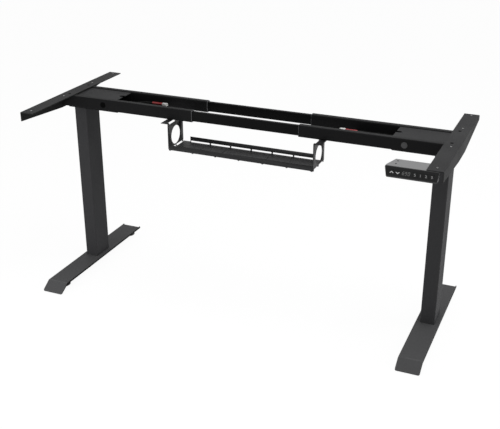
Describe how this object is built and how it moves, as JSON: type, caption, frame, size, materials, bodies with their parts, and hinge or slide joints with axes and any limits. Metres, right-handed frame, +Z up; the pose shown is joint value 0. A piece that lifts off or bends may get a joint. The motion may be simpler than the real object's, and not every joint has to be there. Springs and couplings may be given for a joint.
{
  "type": "standing desk frame",
  "caption": "Height-adjustable desk frame: two telescoping columns on flat feet, a telescoping twin-rail crossbar, side brackets, motor drives, a cable tray and a handset.",
  "frame": {"origin": "on the floor under the middle of the frame's box, at the lowest height", "axes": "+X along the crossbar to the user's right, +Y away from the user, +Z up"},
  "size_m": [1.444, 0.5845, 0.69],
  "materials": {
    "foot_paint": "fine textured powder coat, satin",
    "column_paint": "fine textured powder coat, satin",
    "rail_paint": "fine textured powder coat, satin",
    "centre_paint": "smooth powder coat, satin",
    "bracket_paint": "fine textured powder coat, satin",
    "cover_paint": "fine textured powder coat, satin",
    "tray_paint": "fine textured powder coat, satin",
    "raw_steel": "turned steel, lightly oiled",
    "zinc": "zinc plated",
    "black_screw": "black oxide",
    "gear_alloy": "die cast",
    "motor_can": "plated can",
    "nylon": "natural nylon",
    "plug_plastic": "moulded, matt",
    "glide_plastic": "moulded, matt",
    "lead_black": "flexible PVC",
    "sleeve_red": "heat-shrunk sleeve",
    "connector_white": "moulded nylon",
    "case_plastic": "moulded, fine spark texture",
    "panel_gloss": "smooth gloss film",
    "key_gloss": "smooth gloss film"
  },
  "bodies": {
    "left_leg": {"left_foot": "foot_paint", "left_foot_bolts": "zinc", "left_outer_column": "column_paint", "left_column_base": "raw_steel", "left_drive_nut": "nylon", "left_column_bush": "nylon"},
    "left_head": {"left_inner_column": "column_paint", "left_lower_bush": "nylon", "left_mount_channel": "rail_paint", "left_gearbox": "gear_alloy", "left_motor": "motor_can", "left_motor_cover": "cover_paint", "left_front_rail": "rail_paint", "left_rear_rail": "rail_paint", "left_rail_plug": "plug_plastic", "left_lock_screws": "zinc", "left_bracket": "bracket_paint", "left_bracket_screws": "black_screw", "left_motor_lead": "lead_black", "left_lead_sleeve": "sleeve_red", "left_lead_connector": "connector_white"},
    "centre": {"front_centre_rail": "centre_paint", "rear_centre_rail": "centre_paint", "cable_tray": "tray_paint"},
    "right_head": {"right_inner_column": "column_paint", "right_lower_bush": "nylon", "right_mount_channel": "rail_paint", "right_gearbox": "gear_alloy", "right_motor": "motor_can", "right_motor_cover": "cover_paint", "right_front_rail": "rail_paint", "right_rear_rail": "rail_paint", "right_rail_plug": "plug_plastic", "right_lock_screws": "zinc", "right_bracket": "bracket_paint", "right_bracket_screws": "black_screw", "right_motor_lead": "lead_black", "right_lead_sleeve": "sleeve_red", "right_lead_connector": "connector_white", "handset_case": "case_plastic", "handset_panel": "panel_gloss"},
    "right_leg": {"right_foot": "foot_paint", "right_foot_bolts": "zinc", "right_outer_column": "column_paint", "right_column_base": "raw_steel", "right_drive_nut": "nylon", "right_column_bush": "nylon"},
    "left_screw": {"left_spindle": "raw_steel"},
    "right_screw": {"right_spindle": "raw_steel"},
    "left_front_glide": {"left_front_glide": "glide_plastic"},
    "left_rear_glide": {"left_rear_glide": "glide_plastic"},
    "right_front_glide": {"right_front_glide": "glide_plastic"},
    "right_rear_glide": {"right_rear_glide": "glide_plastic"},
    "up_key": {"up_key": "key_gloss"},
    "down_key": {"down_key": "key_gloss"},
    "set_key": {"set_key": "key_gloss"},
    "key_1": {"key_1": "key_gloss"},
    "key_2": {"key_2": "key_gloss"},
    "key_3": {"key_3": "key_gloss"}
  },
  "joints": [
    {"name": "left_lift", "type": "slide", "parent": "left_leg", "child": "left_head", "axis": [0, 0, 1], "range_m": [0, 0.47]},
    {"name": "left_width", "type": "slide", "parent": "left_head", "child": "centre", "axis": [1, 0, 0], "range_m": [-0.165, 0.185]},
    {"name": "right_width", "type": "slide", "parent": "centre", "child": "right_head", "axis": [1, 0, 0], "range_m": [-0.165, 0.185]},
    {"name": "right_lift", "type": "slide", "parent": "right_head", "child": "right_leg", "axis": [0, 0, -1], "range_m": [0, 0.47]},
    {"name": "left_screw_turn", "type": "hinge", "parent": "left_head", "child": "left_screw", "pos_m": [-0.665, 0.026, 0.3], "axis": [0, 0, 1], "range_deg": [0, 14110]},
    {"name": "right_screw_turn", "type": "hinge", "parent": "right_head", "child": "right_screw", "pos_m": [0.665, 0.026, 0.3], "axis": [0, 0, 1], "range_deg": [0, 14110]},
    {"name": "left_front_glide_screw", "type": "slide", "parent": "left_leg", "child": "left_front_glide", "axis": [0, 0, -1], "range_m": [0, 0.008]},
    {"name": "left_rear_glide_screw", "type": "slide", "parent": "left_leg", "child": "left_rear_glide", "axis": [0, 0, -1], "range_m": [0, 0.008]},
    {"name": "right_front_glide_screw", "type": "slide", "parent": "right_leg", "child": "right_front_glide", "axis": [0, 0, -1], "range_m": [0, 0.008]},
    {"name": "right_rear_glide_screw", "type": "slide", "parent": "right_leg", "child": "right_rear_glide", "axis": [0, 0, -1], "range_m": [0, 0.008]},
    {"name": "up_key_press", "type": "slide", "parent": "right_head", "child": "up_key", "axis": [0, 1, 0], "range_m": [0, 0.0008], "stiffness_N_per_m": 1500, "springref_m": -0.0004},
    {"name": "down_key_press", "type": "slide", "parent": "right_head", "child": "down_key", "axis": [0, 1, 0], "range_m": [0, 0.0008], "stiffness_N_per_m": 1500, "springref_m": -0.0004},
    {"name": "set_key_press", "type": "slide", "parent": "right_head", "child": "set_key", "axis": [0, 1, 0], "range_m": [0, 0.0008], "stiffness_N_per_m": 1500, "springref_m": -0.0004},
    {"name": "key_1_press", "type": "slide", "parent": "right_head", "child": "key_1", "axis": [0, 1, 0], "range_m": [0, 0.0008], "stiffness_N_per_m": 1500, "springref_m": -0.0004},
    {"name": "key_2_press", "type": "slide", "parent": "right_head", "child": "key_2", "axis": [0, 1, 0], "range_m": [0, 0.0008], "stiffness_N_per_m": 1500, "springref_m": -0.0004},
    {"name": "key_3_press", "type": "slide", "parent": "right_head", "child": "key_3", "axis": [0, 1, 0], "range_m": [0, 0.0008], "stiffness_N_per_m": 1500, "springref_m": -0.0004}
  ],
  "couplings": [
    {"joint": "right_lift", "follows": "left_lift", "ratio": 1},
    {"joint": "left_screw_turn", "follows": "left_lift", "rad_per_m": 523.6},
    {"joint": "right_screw_turn", "follows": "left_lift", "rad_per_m": 523.6}
  ]
}
